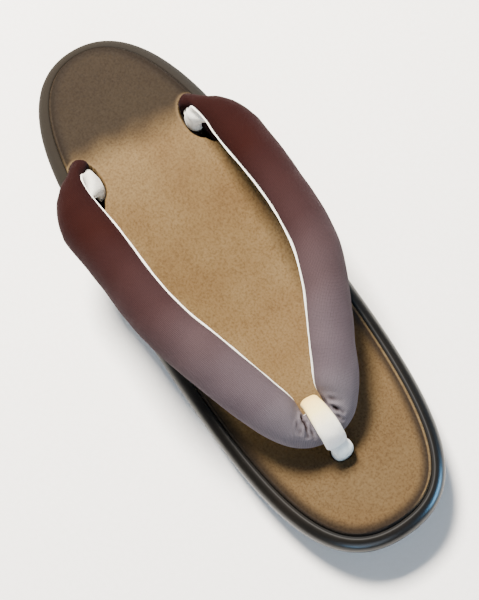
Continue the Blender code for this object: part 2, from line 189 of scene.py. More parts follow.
# The left arm's stations from its slot to the junction, in shares of the named sizes, with
# tilt and turn in degrees
ArmRow = namedtuple("ArmRow", "along out rise tilt turn width pad backing trim")
ARM = (
    ArmRow(0.005, 0.670, 0.175, 14, 80, 1.04, 0.58, 0.86, 0.0),
    ArmRow(0.026, 0.733, 0.270, 26, 66, 1.00, 0.66, 0.62, 0.1),
    ArmRow(0.056, 0.806, 0.315, 33, 48, 0.98, 0.82, 0.40, 0.4),
    ArmRow(0.093, 0.862, 0.330, 34, 29, 0.98, 0.95, 0.28, 0.8),
    ArmRow(0.130, 0.876, 0.345, 34, 14, 1.00, 1.00, 0.26, 1.0),
    ArmRow(0.224, 0.860, 0.475, 38, 5, 1.00, 1.00, 0.26, 1.0),
    ArmRow(0.340, 0.843, 0.620, 44, 4, 1.00, 1.00, 0.26, 1.0),
    ArmRow(0.455, 0.820, 0.810, 45, 7, 1.00, 1.00, 0.26, 1.0),
    ArmRow(0.579, 0.756, 0.950, 44, 14, 1.00, 1.00, 0.26, 1.0),
    ArmRow(0.700, 0.622, 0.960, 42, 21, 0.97, 0.97, 0.26, 1.0),
    ArmRow(0.817, 0.462, 0.790, 38, 26, 0.94, 0.94, 0.26, 1.0),
    ArmRow(0.900, 0.341, 0.615, 34, 33, 0.91, 0.92, 0.26, 1.0),
    ArmRow(0.948, 0.252, 0.495, 31, 46, 0.85, 0.85, 0.26, 0.8),
    ArmRow(0.978, 0.184, 0.440, 27, 66, 0.76, 0.69, 0.26, 0.6),
)

# The loop's stations round the junction: degrees, then shares of its thickness and width
LoopRow = namedtuple("LoopRow", "angle lift width")
LOOP = (
    LoopRow(-40, 0.76, 0.74),
    LoopRow(-12, 0.72, 0.76),
    LoopRow(20, 0.66, 0.82),
    LoopRow(55, 0.60, 0.92),
    LoopRow(90, 0.56, 1.00),
    LoopRow(122, 0.56, 1.00),
    LoopRow(150, 0.60, 0.98),
)

# The post's stations: shares of the way up to the loop, of its thickness and of its size
PostRow = namedtuple("PostRow", "rise shift girth")
POST = (
    PostRow(0.06, 0.00, 1.00),
    PostRow(0.24, 0.03, 1.03),
    PostRow(0.46, 0.06, 1.00),
    PostRow(0.68, 0.05, 0.92),
)

# Folds, each a soft trough with a ridge along both sides. A fold is deepest a
# quarter of the way along and shallower at its end. Its ridges and its reach are in its own
# widths, and cloth that is pressed in by FOLD_SHADE is at its darkest.
FOLD_DEEPEST = 0.25
FOLD_END_DEPTH = 0.35
FOLD_REACH = 4.0
RIDGE_PLACE = 1.9
RIDGE_SHARE = 0.38
FOLD_SHADE = 0.6 * MM
# Start and end are distances in mm: along from the heel tip, out to the wearer's left, up.
Fold = namedtuple("Fold", "start end depth width")
STRAP_FOLDS = (
    # gathers on the right arm beside the loop
    Fold((187.0, -9.0, 34.3), (191.2, -12.9, 34.0), 1.5, 0.65),
    Fold((189.0, -9.2, 34.0), (193.8, -11.3, 32.2), 1.6, 0.65),
    Fold((188.2, -11.7, 35.4), (190.6, -13.8, 34.6), 0.6, 0.6),
    Fold((191.5, -8.6, 33.2), (195.6, -9.6, 31.0), 0.9, 0.7),
    # gathers on the left arm beside the loop
    Fold((189.6, 1.4, 34.0), (193.0, 4.2, 32.2), 1.5, 0.8),
    Fold((192.6, 1.4, 32.8), (195.2, 3.0, 30.8), 0.9, 0.7),
    Fold((186.6, 1.8, 35.0), (189.6, 6.0, 34.6), 0.5, 0.8),
    # creases where both arms turn out of their slots
    Fold((56.0, -30.5, 36.5), (64.5, -34.5, 43.0), 0.55, 1.4),
    Fold((59.0, -37.0, 37.0), (69.5, -37.5, 43.0), 0.5, 1.6),
    Fold((56.0, 30.5, 36.5), (64.5, 33.5, 43.0), 0.55, 1.4),
    Fold((59.5, 36.5, 36.0), (70.0, 36.0, 43.0), 0.5, 1.6),
    # slack on the way to the toe
    Fold((128.0, -38.0, 38.0), (150.0, -31.0, 44.0), 0.30, 3.2),
    Fold((100.0, 40.0, 36.0), (126.0, 34.0, 46.0), 0.30, 3.4),
    Fold((158.0, 24.0, 38.0), (172.0, 14.0, 39.0), 0.35, 2.6),
    Fold((160.0, -26.0, 37.0), (174.0, -17.0, 38.0), 0.35, 2.6),
)
BACKING_FOLDS = (
    Fold((56.5, 23.0, 36.0), (63.5, 21.0, 32.6), 0.9, 0.8),
    Fold((60.5, 24.0, 37.0), (65.5, 21.6, 33.8), 0.5, 0.8),
    Fold((57.0, -22.4, 33.0), (63.0, -21.6, 31.2), 0.2, 0.8),
)

# Surfaces, in millimetres. The heel's painted dark reflection reaches farther ahead on the
# left, and the edges of that reflection, of the strap's dye and painted light, and of the
# loop's yellow wander by their blur.
HEEL_SLANT = -0.12
HEEL_BLUR = 12
DYE_AND_LIGHT_BLUR = 16
DYE_AND_LIGHT_CLOUD = 22
YELLOW_BLUR = 3
PAPER_TOOTH = 2.0
# ripples in the wrap run along the edge, about three times as long as they are high
RIPPLE = 3.5
RIPPLE_STRETCH = (0.35, 0.35, 1.0)
SOLE_RIB = 2.01
SOLE_RIB_TURNS = (35, -35)
TAPE_RIB = 0.5655
WARP_THREAD = 0.5027
WEFT_THREAD = 0.5655
FUZZ = 0.5
# length of one wave of a rib or thread pattern at scale 1
WAVE_LENGTH = pi / 10
# places of a mix's two colours and of its result
FIRST, SECOND, MIXED = 6, 7, 2

# Camera, floor and lights: places in metres, lens in millimetres, powers in watts
CAMERA_SPOT = (0.1646, -0.056, 0.448)
CAMERA_AHEAD = (-0.33427, 0.11898, -0.93494)
CAMERA_RIGHT = (0.54193, 0.83587, -0.08738)
LENS = 71.3
SENSOR = 36
FLOOR_HALF = 3.0
FLOOR_CELLS = 8
ROOM_TINT = "#f6f7f9"
ROOM_LIGHT = 0.2

Lamp = namedtuple("Lamp", "name spot aim size power tint")
SOFT_LIGHTS = (
    Lamp("main softbox", (-0.65, 0.05, 0.98), (0.02, 0, 0.02), (0.36, 0.30), 80, "#fff6ea"),
    Lamp("fill", (0.80, -0.40, 0.62), (0.05, 0, 0.02), (0.7, 0.5), 6, "#e0eeff"),
)
# right and left as the camera sees them
WINDOWS = (
    Lamp("right window", (0.46, 0.48, 0.24), (0.11, 0, 0.015), (0.36, 0.26), 16, "#7fc2f4"),
    Lamp("left window", (0.56, -0.42, 0.26), (0.11, 0, 0.015), (0.26, 0.14), 2, "#8cc6f2"),
)


def smoothstep(value, start, end):
    """0 up to the start, 1 from the end on, and a soft step between them."""
    share = min(max((value - start) / (end - start), 0.0), 1.0)
    return share * share * (3.0 - 2.0 * share)


def bell(value, middle, width):
    """1 at the middle, falling softly to both sides."""
    return exp(-(((value - middle) / width) ** 2))


def toe_lift(along):
    """How far the toe is sprung up off the floor."""
    past = max(along - (LENGTH - TOE_SPRING_LENGTH), 0.0) / TOE_SPRING_LENGTH
    return TOE_SPRING * past * past


def tread_height(along):
    """Height of the tread at a distance from the heel tip."""
    fall = smoothstep(along, SLOPE_START, SLOPE_END)
    return HEEL_HEIGHT + (FOREFOOT_HEIGHT - HEEL_HEIGHT) * fall + toe_lift(along)


def ground_height(along):
    """Height of the underside: bevelled at the heel, arched, and sprung at the toe."""
    bevel = max(HEEL_BEVEL_LENGTH - along, 0.0) / HEEL_BEVEL_LENGTH
    middle = (ARCH_START + ARCH_END) / 2
    arch = smoothstep(along, ARCH_START, middle) - smoothstep(along, middle, ARCH_END)
    return toe_lift(along) + HEEL_BEVEL * bevel * bevel + ARCH_RISE * arch


def bezier(first, second, third, last, share):
    """A point of the curve from first to last that second and third pull."""
    rest = 1.0 - share
    outer = first * rest**3 + last * share**3
    return outer + second * (3 * rest * rest * share) + third * (3 * rest * share * share)


def half_outline(steps):
    """Left half of the sole's outline as (along, out), heel tip to toe tip."""
    half = {row.name: HEEL_WIDTH / 2 for row in OUTLINE[:2]}
    half.update({row.name: BALL_WIDTH / 2 for row in OUTLINE[2:]})
    points = []
    for start, end in zip(OUTLINE, OUTLINE[1:]):
        first = Vector((start.along * LENGTH, start.width * half[start.name]))
        last = Vector((end.along * LENGTH, end.width * half[end.name]))
        leave = Vector((start.ahead * LENGTH, 0.0))
        arrive = Vector((-end.back * LENGTH, 0.0))
        if start.name == "heel tip":
            leave = Vector((0.0, start.ahead * half[start.name]))
        if end.name == "toe tip":
            arrive = Vector((0.0, end.back * half[end.name]))
        for step in range(steps):
            share = step / steps
            points.append(bezier(first, first + leave, last + arrive, last, share))
    points.append(Vector((LENGTH, 0.0)))
    return points


def whole_outline(steps, inset=0.0):
    """The closed outline moved inwards by inset, as (along, out)."""
    half = half_outline(steps)
    moved = []
    for index, point in enumerate(half):
        if index == 0:
            moved.append(Vector((inset, 0.0)))
        elif index == len(half) - 1:
            moved.append(Vector((LENGTH - inset, 0.0)))
        else:
            run = (half[index + 1] - half[index - 1]).normalized()
            moved.append(point + Vector((run.y, -run.x)) * inset)
    return moved + [Vector((p.x, -p.y)) for p in reversed(moved[1:-1])]


def spline(rows, steps):
    """Points between rows of equal length, on a smooth curve through all of them."""
    padded = [rows[0], *rows, rows[-1]]
    made = []
    for index in range(1, len(padded) - 2):
        for step in range(steps):
            t = step / steps
            made.append([
                0.5 * (2 * b + (c - a) * t + (2 * a - 5 * b + 4 * c - d) * t * t
                       + (3 * b - 3 * c + d - a) * t**3)
                for a, b, c, d in zip(*padded[index - 1 : index + 3])
            ])
    made.append(list(rows[-1]))
    return made


Section = namedtuple("Section", "centre across outward width pad backing margin")


def arm_sections():
    """Sections of the left arm, from the bottom of its plug to past the junction."""
    slot = (SLOT_ALONG, SLOT_OUT, tread_height(SLOT_ALONG) + SLOT_RISE)
    rows = [(*slot, 0, 90, SLOT_LENGTH, SLOT_PAD, BACKING_BULGE, 0)]
    for row in ARM:
        along = SLOT_ALONG + (NECK_ALONG - SLOT_ALONG) * row.along
        level = tread_height(along) + row.rise * STRAP_ARCH
        girth = (row.width * STRAP_WIDTH, row.pad * STRAP_PAD)
        behind = (row.backing * BACKING_BULGE, row.trim * BACKING_MARGIN)
        centre = (along, row.out * BALL_WIDTH / 2, level)
        rows.append((*centre, row.tilt, row.turn, *girth, *behind))
    neck = (NECK_ALONG, LOOP_WIDTH / 2, tread_height(NECK_ALONG) + NECK_RISE)
    behind = (BACKING_SHEET, NECK_TRIM * BACKING_MARGIN)
    rows.append((*neck, NECK_TILT, 90, NECK_LENGTH, NECK_PAD, *behind))

    rows = spline(rows, ARM_STEPS)
    centres = [Vector((row[0] - LENGTH / 2, row[1], row[2])) for row in rows]
    sections = []
    for index, row in enumerate(rows):
        if index == 0:
            run = Vector((0, 0, 1))
        elif index == len(rows) - 1:
            run = Vector((0, -1, 0))
        else:
            run = centres[index + 1] - centres[index - 1]
        level, side = cos(radians(row[3])), radians(row[4])
        across = Vector((-level * sin(side), -level * cos(side), sin(radians(row[3]))))
        outward = across.cross(run).normalized()
        sections.append(Section(centres[index], across, outward, *row[5:9]))
    first, last = sections[0], sections[-1]
    plug = []
    for share in PLUG_SHARES:
        fall = Vector((0, 0, -share * PLUG_DEPTH))
        plug.append(first._replace(centre=first.centre + fall))
    bridge = []
    for share in BRIDGE_SHARES:
        spot = Vector((last.centre.x, share * last.centre.y, last.centre.z))
        bridge.append(last._replace(centre=spot))
    return [*plug, *sections, *bridge]


def leaning(ring, along):
    """Moves a ring towards the right, where the strap has settled at its rear and front."""
    rear = smoothstep(along, SLOT_ALONG, REAR_LEAN)
    rear -= smoothstep(along, REAR_LEAN, REAR_LEAN_END)
    settled = NECK_ALONG - NECK_LENGTH / 2
    moved = []
    for point in ring:
        front = smoothstep(point.x + LENGTH / 2, LEAN_START, settled)
        moved.append(point + Vector((0, REAR_OUT * rear + NECK_OUT * front, 0)))
    return moved


def first_ring(shape, points):
    """A ring of vertices, from a circle, laid on the points."""
    ring = bmesh.ops.create_circle(shape, segments=len(points), radius=MM)["verts"]
    for vertex, point in zip(ring, points):
        vertex.co = point
    return ring


def ring_edges(shape, ring):
    """The edges round a ring of vertices."""
    return [shape.edges.get(pair) for pair in zip(ring, ring[1:] + ring[:1])]


def next_ring(shape, ring, points):
    """The ring drawn out to the next points."""
    made = bmesh.ops.extrude_edge_only(shape, edges=ring_edges(shape, ring))["geom"]
    fresh = {part for part in made if isinstance(part, bmesh.types.BMVert)}
    after = []
    for vertex, point in zip(ring, points):
        follower = next(
            edge.other_vert(vertex)
            for edge in vertex.link_edges
            if edge.other_vert(vertex) in fresh
        )
        follower.co = point
        after.append(follower)
    return after


def open_body(shape, rings):
    """A wall through rings of points, and the rings of its vertices."""
    made = [first_ring(shape, rings[0])]
    for points in rings[1:]:
        made.append(next_ring(shape, made[-1], points))
    return made


def closed_body(shape, rings):
    """The same, with a face over each end."""
    made = open_body(shape, rings)
    for ring in (made[0], made[-1]):
        bmesh.ops.contextual_create(shape, geom=ring_edges(shape, ring))
    bmesh.ops.recalc_face_normals(shape, faces=shape.faces[:])
    return made


def fold_offset(point, folds):
    """How far a point sinks into, or swells beside, the folds near it."""
    offset = 0.0
    for fold in folds:
        start = Vector(fold.start) * MM - Vector((LENGTH / 2, 0, 0))
        end = Vector(fold.end) * MM - Vector((LENGTH / 2, 0, 0))
        run = end - start
        share = min(max((point - start).dot(run) / run.length_squared, 0.0), 1.0)
        away = (point - start - run * share).length / (fold.width * MM)
        if away > FOLD_REACH:
            continue
        fade = sin(pi * min(share + 0.5 - FOLD_DEEPEST, 1.0))
        fade = FOLD_END_DEPTH + (1 - FOLD_END_DEPTH) * fade
        trough = bell(away, 0, 1) - RIDGE_SHARE * bell(away, RIDGE_PLACE, 1)
        offset -= fold.depth * MM * fade * trough
    return offset


def settle(shape, folds, swell, reach, layer=None):
    """Presses the folds in, makes the stuffing a little uneven, and notes the folds' depth."""
    shape.normal_update()
    moves = []
    for vertex in shape.verts:
        uneven = noise.noise(vertex.co / reach) * swell
        pressed = fold_offset(vertex.co, folds)
        moves.append(vertex.normal * (pressed + uneven))
        if layer:
            vertex[layer] = min(max(-pressed / FOLD_SHADE, 0.0), 1.0)
    for vertex, move in zip(shape.verts, moves):
        vertex.co += move


def placed(name, data):
    """A new object in the scene."""
    made = bpy.data.objects.new(name, data)
    bpy.context.scene.collection.objects.link(made)
    return made


def surfaced(name, shape, finish):
    """The object of a shape that is ready, with its material."""
    data = bpy.data.meshes.new(name)
    shape.to_mesh(data)
    shape.free()
    data.materials.append(finish)
    return placed(name, data)


def piece(name, shape, finish, replaced, detail=0):
    """A piece of the sandal, in the place of the solids that it stands for."""
    made = surfaced(name, shape, finish)
    made.data.shade_smooth()
    if detail:
        smoother = made.modifiers.new("smoother", "SUBSURF")
        smoother.levels = detail
        smoother.render_levels = detail
    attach(made, "root")
    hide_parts(*replaced)
    return made


# Materials


def colour(value):
    """sRGB hex to linear."""
    parts = [int(value[i : i + 2], 16) / 255 for i in (1, 3, 5)]
    linear = [c / 12.92 if c <= 0.04045 else ((c + 0.055) / 1.055) ** 2.4 for c in parts]
    return (*linear, 1.0)


def node(tree, kind, settings=None, inputs=None, stops=()):
    """Adds a node with its settings, its values and links, and its stops of colour."""
    made = tree.nodes.new("ShaderNode" + kind)
    for name, value in (settings or {}).items():
        setattr(made, name, value)
    for name, value in (inputs or {}).items():
        if isinstance(value, bpy.types.NodeSocket):
            tree.links.new(value, made.inputs[name])
        else:
            made.inputs[name].default_value = value
    if stops:
        band = made.color_ramp.elements
        while len(band) < len(stops):
            band.new(0.5)
        for element, (place, value) in zip(band, stops):
            element.position = place
            element.color = colour(value)
    return made


def blank(name):
    """An empty material, and the object's own coordinates in millimetres."""
    made = bpy.data.materials.new(name)
    made.use_nodes = True
    tree = made.node_tree
    tree.nodes.clear()
    metres = node(tree, "TexCoord").outputs["Object"]
    spot = node(tree, "Mapping", inputs={"Vector": metres, "Scale": (PER_METRE,) * 3})
    return made, tree, spot.outputs["Vector"]


def finished(made, inputs):
    """Gives the material its surface."""
    tree = made.node_tree
    shader = node(tree, "BsdfPrincipled", inputs=inputs)
    node(tree, "OutputMaterial", inputs={"Surface": shader.outputs["BSDF"]})
    return made


def bronze_leather():
    """Pearl-finished synthetic leather with a pressed grain: warm bronze, fine and satin."""
    made, tree, spot = blank("bronze pearl leather")
    cloudy, mottle, grain = (
        node(tree, "TexNoise", inputs={
            "Vector": spot, "Scale": 1 / size, "Detail": detail, "Roughness": 0.6,
        }).outputs["Fac"]
        for size, detail in ((30, 2.0), (0.9, 2.0), (0.8, 2.0))
    )
    bronze = node(tree, "ValToRGB", inputs={"Fac": cloudy}, stops=(
        (0.3, "#5b482e"), (0.5, "#614f34"), (0.72, "#67563b"))).outputs["Color"]
    fine = node(tree, "ValToRGB", inputs={"Fac": mottle}, stops=(
        (0.32, "#c2b5a1"), (0.5, "#eee8dc"), (0.66, "#ffffff"))).outputs["Color"]
    # the heel behind the slots is painted a duller brown, a painted dark reflection, with a soft
    # slanting edge
    parts = node(tree, "SeparateXYZ", inputs={"Vector": spot}).outputs
    slant = node(tree, "Math", {"operation": "MULTIPLY_ADD"}, {
        0: parts["Y"], 1: HEEL_SLANT, 2: parts["X"]}).outputs[0]
    slant = node(tree, "Math", {"operation": "MULTIPLY_ADD"}, {
        0: cloudy, 1: HEEL_BLUR, 2: slant}).outputs[0]
    # each mask is full at one place and gone at the next: the heel's painted dark reflection, the
    # darker toe, the painted shade on the shoulder round the edge, and the painted highlight on
    # its bead, brightest at front left and rear right
    edge = node(tree, "Attribute", {"attribute_name": "edge"}).outputs["Fac"]
    inward = node(tree, "Math", {"operation": "MULTIPLY"}, {0: edge, 1: PER_METRE}).outputs[0]
    heel, toe, shoulder_shade, bead_highlight = (
        node(tree, "MapRange", {"interpolation_type": "SMOOTHSTEP"}, {
            "Value": value, "From Min": start, "From Max": end, "To Min": most,
            "To Max": 0.0,
        }).outputs["Result"]
        for value, start, end, most in (
            (slant, -70.0, -51.0, 0.92), (parts["X"], 90.0, 45.0, 0.45),
            (inward, 1.3, 5.6, 0.85), (inward, 0.75, 1.35, 0.9))
    )
    # painted highlight on the bead: bright at front left and rear right, dark at front right and
    # rear left
    sides = node(tree, "Math", {"operation": "MULTIPLY"}, {
        0: parts["X"], 1: parts["Y"]}).outputs[0]
    bead_sheen_and_heel_dust = node(tree, "MapRange", inputs={
        "Value": sides, "From Min": -300.0, "From Max": 1500.0}).outputs["Result"]
    bead = node(tree, "ValToRGB", inputs={"Fac": bead_sheen_and_heel_dust}, stops=(
        (0.0, "#1c1610"), (0.5, "#2c2419"), (1.0, "#62533a"))).outputs["Color"]
    # painted highlight on the slots' raised lips, and painted shade down inside the slots and the
    # post's hole
    slot = node(tree, "Attribute", {"attribute_name": "slot"}).outputs["Fac"]
    lip, sunk = (
        node(tree, "Math", {"operation": "MULTIPLY", "use_clamp": True}, {
            0: slot, 1: share}).outputs[0]
        for share in (-0.8, 1.0)
    )
    tone = bronze
    for blend, share, paint in (
        ("MIX", toe, colour("#352511")),
        ("MIX", shoulder_shade, colour("#18120d")),
        ("MIX", bead_highlight, bead),
        ("MIX", heel, colour("#17110b")),
        ("MULTIPLY", 0.75, fine),
        ("MIX", lip, colour("#63523a")),
        ("MIX", sunk, colour("#0d0907")),
    ):
        tone = node(tree, "Mix", {"data_type": "RGBA", "blend_type": blend}, {
            "Factor": share, FIRST: tone, SECOND: paint}).outputs[MIXED]
    rough = node(tree, "MapRange", inputs={
        "Value": grain, "To Min": 0.62, "To Max": 0.80}).outputs["Result"]
    bump = node(tree, "Bump", inputs={
        "Height": mottle, "Distance": 0.16 * MM, "Strength": 0.35}).outputs["Normal"]
    bump = node(tree, "Bump", inputs={
        "Height": grain, "Distance": 0.10 * MM, "Strength": 0.5, "Normal": bump})
    return finished(made, {
        "Base Color": tone, "Roughness": rough, "IOR": 1.45, "Specular IOR Level": 0.1,
        "Normal": bump.outputs["Normal"]})


def glossy_wrap():
    """Polyurethane-coated wrap, stretched round the edge: near black, glossy at the toe and
    rubbed dull at the heel."""
    made, tree, spot = blank("dark coated wrap")
    stretch = node(tree, "Mapping", inputs={"Vector": spot, "Scale": RIPPLE_STRETCH})
    cloudy, grain, ripple = (
        node(tree, "TexNoise", inputs={
            "Vector": place, "Scale": 1 / size, "Detail": 3.0}).outputs["Fac"]
        for place, size in ((spot, 18), (spot, 0.9), (stretch.outputs["Vector"], RIPPLE))
    )
    dark = node(tree, "ValToRGB", inputs={"Fac": cloudy}, stops=(
        (0.3, "#0a0806"), (0.55, "#0d0b08"), (0.8, "#120e0b"))).outputs["Color"]
    along = node(tree, "SeparateXYZ", inputs={"Vector": spot}).outputs["X"]
    bead_sheen_and_heel_dust = node(tree, "MapRange", inputs={
        "Value": along, "From Min": 50.0, "From Max": -60.0}).outputs["Result"]
    # low on the wall and where it tucks in beside the bed, the wrap is dull
    tucked = node(tree, "Attribute", {"attribute_name": "tucked"}).outputs["Fac"]
    dull = node(tree, "Math", {"operation": "MAXIMUM"}, {0: bead_sheen_and_heel_dust, 1: tucked}).outputs[0]
    rough = node(tree, "MapRange", inputs={
        "Value": dull, "To Min": 0.28, "To Max": 0.90}).outputs["Result"]
    rough = node(tree, "Math", {"operation": "MULTIPLY_ADD"}, {
        0: grain, 1: 0.08, 2: rough}).outputs[0]
    tone = node(tree, "Mix", {"data_type": "RGBA"}, {
        "Factor": bead_sheen_and_heel_dust, FIRST: dark, SECOND: colour("#17120a")}).outputs[MIXED]
    bump = node(tree, "Bump", inputs={
        "Height": ripple, "Distance": 0.25 * MM, "Strength": 0.08}).outputs["Normal"]
    bump = node(tree, "Bump", inputs={
        "Height": grain, "Distance": 0.05 * MM, "Strength": 0.12, "Normal": bump})
    return finished(made, {
        "Base Color": tone, "Roughness": rough, "IOR": 1.5, "Specular IOR Level": 0.3,
        "Normal": bump.outputs["Normal"]})


def sole_rubber():
    """Moulded rubber sheet: black-brown, matt, ribbed underneath."""
    made, tree, spot = blank("moulded sole rubber")
    dusty, grit = (
        node(tree, "TexNoise", inputs={
            "Vector": spot, "Scale": 1 / size, "Detail": detail, "Roughness": 0.6,
        }).outputs["Fac"]
        for size, detail in ((9, 4.0), (0.6, 2.0))
    )
    tone = node(tree, "ValToRGB", inputs={"Fac": dusty}, stops=(
        (0.3, "#1f1b18"), (0.55, "#2a2521"), (0.8, "#3a342e"))).outputs["Color"]
    # two sets of ribs, 2 mm apart, cross each other
    ribs = []
    for turn in SOLE_RIB_TURNS:
        laid = node(tree, "Mapping", inputs={
            "Vector": spot, "Rotation": (0, 0, radians(turn))}).outputs["Vector"]
        ribs.append(node(tree, "TexWave", inputs={
            "Vector": laid, "Scale": WAVE_LENGTH / SOLE_RIB}).outputs["Fac"])
    crossed = node(tree, "Math", {"operation": "MINIMUM"}, {0: ribs[0], 1: ribs[1]})
    bump = node(tree, "Bump", inputs={
        "Height": crossed.outputs[0], "Distance": 0.5 * MM, "Strength": 0.6})
    bump = node(tree, "Bump", inputs={
        "Height": grit, "Distance": 0.06 * MM, "Strength": 0.4,
        "Normal": bump.outputs["Normal"]})
    return finished(made, {
        "Base Color": tone, "Roughness": 0.72, "Normal": bump.outputs["Normal"]})


def shaded_cloth():
    """Crepe weave over soft padding, dyed from burgundy at the heel to mauve at the toe, and
    lifted at the toe by a painted cool light.
    """
    made, tree, spot = blank("dyed crepe weave with painted light")
    uneven = node(tree, "TexNoise", inputs={
        "Vector": spot, "Scale": 1 / DYE_AND_LIGHT_CLOUD, "Detail": 3.0}).outputs["Fac"]
    # the dye runs from burgundy at the heel towards mauve at the toe, and a painted cool light
    # lifts the toe end
    along = node(tree, "SeparateXYZ", inputs={"Vector": spot}).outputs["X"]
    drift = node(tree, "Math", {"operation": "MULTIPLY_ADD"}, {
        0: uneven, 1: DYE_AND_LIGHT_BLUR, 2: along}).outputs[0]
    dye_and_light = node(tree, "MapRange", inputs={
        "Value": drift, "From Min": -62.0, "From Max": 90.0}).outputs["Result"]
    dye_and_light_tone = node(tree, "ValToRGB", inputs={"Fac": dye_and_light}, stops=(
        (0.0, "#1c0807"), (0.25, "#260e0b"), (0.50, "#332223"), (0.66, "#473a3d"),
        (0.82, "#574d53"), (1.0, "#757178"))).outputs["Color"]
    # threads are drawn 0.5 mm and 0.57 mm apart, twice their real pitch, so that they show
    metres = node(tree, "Attribute", {"attribute_name": "weave"}).outputs["Vector"]
    lay = node(tree, "Mapping", inputs={
        "Vector": metres, "Scale": (PER_METRE,) * 3}).outputs["Vector"]
    warp, weft = (
        node(tree, "TexWave", {"bands_direction": way}, {
            "Vector": lay, "Scale": WAVE_LENGTH / pitch, "Distortion": 1.6, "Detail": 2.0,
            "Detail Scale": 1.5,
        }).outputs["Fac"]
        for way, pitch in (("X", WARP_THREAD), ("Y", WEFT_THREAD))
    )
    weave = node(tree, "Math", {"operation": "MULTIPLY"}, {0: warp, 1: weft}).outputs[0]
    fuzz = node(tree, "TexNoise", inputs={
        "Vector": lay, "Scale": 1 / FUZZ, "Detail": 3.0, "Roughness": 0.65}).outputs["Fac"]
    grain = node(tree, "Math", {"operation": "MULTIPLY_ADD"}, {
        0: fuzz, 1: 0.7, 2: weave}).outputs[0]
    fleck = node(tree, "ValToRGB", inputs={"Fac": grain}, stops=(
        (0.25, "#8c8c8c"), (0.6, "#f2f2f2"), (1.0, "#ffffff"))).outputs["Color"]
    # painted shade darkens the cloth down in its folds
    fold = node(tree, "Attribute", {"attribute_name": "fold"}).outputs["Fac"]
    tone = dye_and_light_tone
    for blend, share, paint in (("MULTIPLY", 0.6, fleck), ("MIX", fold, colour("#1f1413"))):
        tone = node(tree, "Mix", {"data_type": "RGBA", "blend_type": blend}, {
            "Factor": share, FIRST: tone, SECOND: paint}).outputs[MIXED]
    bump = node(tree, "Bump", inputs={
        "Height": grain, "Distance": 0.16 * MM, "Strength": 0.55})
    return finished(made, {
        "Base Color": tone, "Roughness": 0.85, "Specular IOR Level": 0.05,
        "Sheen Weight": 0.03, "Sheen Roughness": 0.4, "Sheen Tint": colour("#cdb9cc"),
        "Normal": bump.outputs["Normal"]})


def white_felt():
    """Needled felt: soft, chalk white, with a short nap."""
    made, tree, spot = blank("white needled felt")
    nap, soft = (
        node(tree, "TexNoise", inputs={
            "Vector": spot, "Scale": 1 / size, "Detail": detail, "Roughness": 0.7,
        }).outputs["Fac"]
        for size, detail in ((0.55, 4.0), (6, 2.0))
    )
    chalk = node(tree, "ValToRGB", inputs={"Fac": nap}, stops=(
        (0.25, "#dcdcd6"), (0.55, "#f6f7f2"), (0.8, "#fcfcfa"))).outputs["Color"]
    shade = node(tree, "ValToRGB", inputs={"Fac": soft}, stops=(
        (0.3, "#f0ede4"), (0.7, "#ffffff"))).outputs["Color"]
    tone = node(tree, "Mix", {"data_type": "RGBA", "blend_type": "MULTIPLY"}, {
        "Factor": 0.7, FIRST: chalk, SECOND: shade}).outputs[MIXED]
    bump = node(tree, "Bump", inputs={
        "Height": nap, "Distance": 0.15 * MM, "Strength": 0.5})
    return finished(made, {
        "Base Color": tone, "Roughness": 0.95, "Sheen Weight": 0.25,
        "Normal": bump.outputs["Normal"]})


def white_cloth():
    """Brushed cotton tape, warm yellow where it turns under at its heel end, with a painted cool
    light at its toe end.
    """
    made, tree, spot = blank("white brushed cotton")
    nap, soft = (
        node(tree, "TexNoise", inputs={
            "Vector": spot, "Scale": 1 / size, "Detail": 3.0, "Roughness": 0.65,
        }).outputs["Fac"]
        for size in (0.5, 5)
    )
    along = node(tree, "SeparateXYZ", inputs={"Vector": spot}).outputs["X"]
    blur = node(tree, "Math", {"operation": "MULTIPLY_ADD"}, {
        0: soft, 1: YELLOW_BLUR, 2: along}).outputs[0]
    place = node(tree, "MapRange", inputs={
        "Value": blur, "From Min": 63.0, "From Max": 87.0}).outputs["Result"]
    # warm yellow at the heel end, white in the middle, and a painted cool light on the toe end
    warm_end_and_cool_light = node(tree, "ValToRGB", inputs={"Fac": place}, stops=(
        (0.0, "#e0bd66"), (0.3, "#f4e19c"), (0.52, "#fdf7e2"), (0.78, "#fdfefe"),
        (1.0, "#eafcfe"))).outputs["Color"]
    fleck = node(tree, "ValToRGB", inputs={"Fac": nap}, stops=(
        (0.25, "#dededa"), (0.6, "#ffffff"))).outputs["Color"]
    tone = node(tree, "Mix", {"data_type": "RGBA", "blend_type": "MULTIPLY"}, {
        "Factor": 0.5, FIRST: warm_end_and_cool_light, SECOND: fleck}).outputs[MIXED]
    # ribs of the tape, 0.57 mm apart
    ribs = node(tree, "TexWave", {"bands_direction": "Y"}, {
        "Vector": spot, "Scale": WAVE_LENGTH / TAPE_RIB, "Distortion": 0.8}).outputs["Fac"]
    bump = node(tree, "Bump", inputs={
        "Height": ribs, "Distance": 0.08 * MM, "Strength": 0.3}).outputs["Normal"]
    bump = node(tree, "Bump", inputs={
        "Height": nap, "Distance": 0.12 * MM, "Strength": 0.5, "Normal": bump})
    return finished(made, {
        "Base Color": tone, "Roughness": 0.9, "Sheen Weight": 0.2,
        "Normal": bump.outputs["Normal"]})


def pale_floor():
    """Seamless paper: near white, dead matt, with a faint tooth."""
    made, tree, spot = blank("seamless white paper")
    tooth = node(tree, "TexNoise", inputs={
        "Vector": spot, "Scale": 1 / PAPER_TOOTH, "Detail": 3.0}).outputs["Fac"]
    tone = node(tree, "ValToRGB", inputs={"Fac": tooth}, stops=(
        (0.3, "#f6f6f4"), (0.7, "#fafaf9"))).outputs["Color"]
    return finished(made, {"Base Color": tone, "Roughness": 0.95})


# Pieces


def at_height(points, level):
    """Points of the outline, at the height that each has along the sole."""
    return [Vector((p.x - LENGTH / 2, p.y, level(p.x))) for p in points]


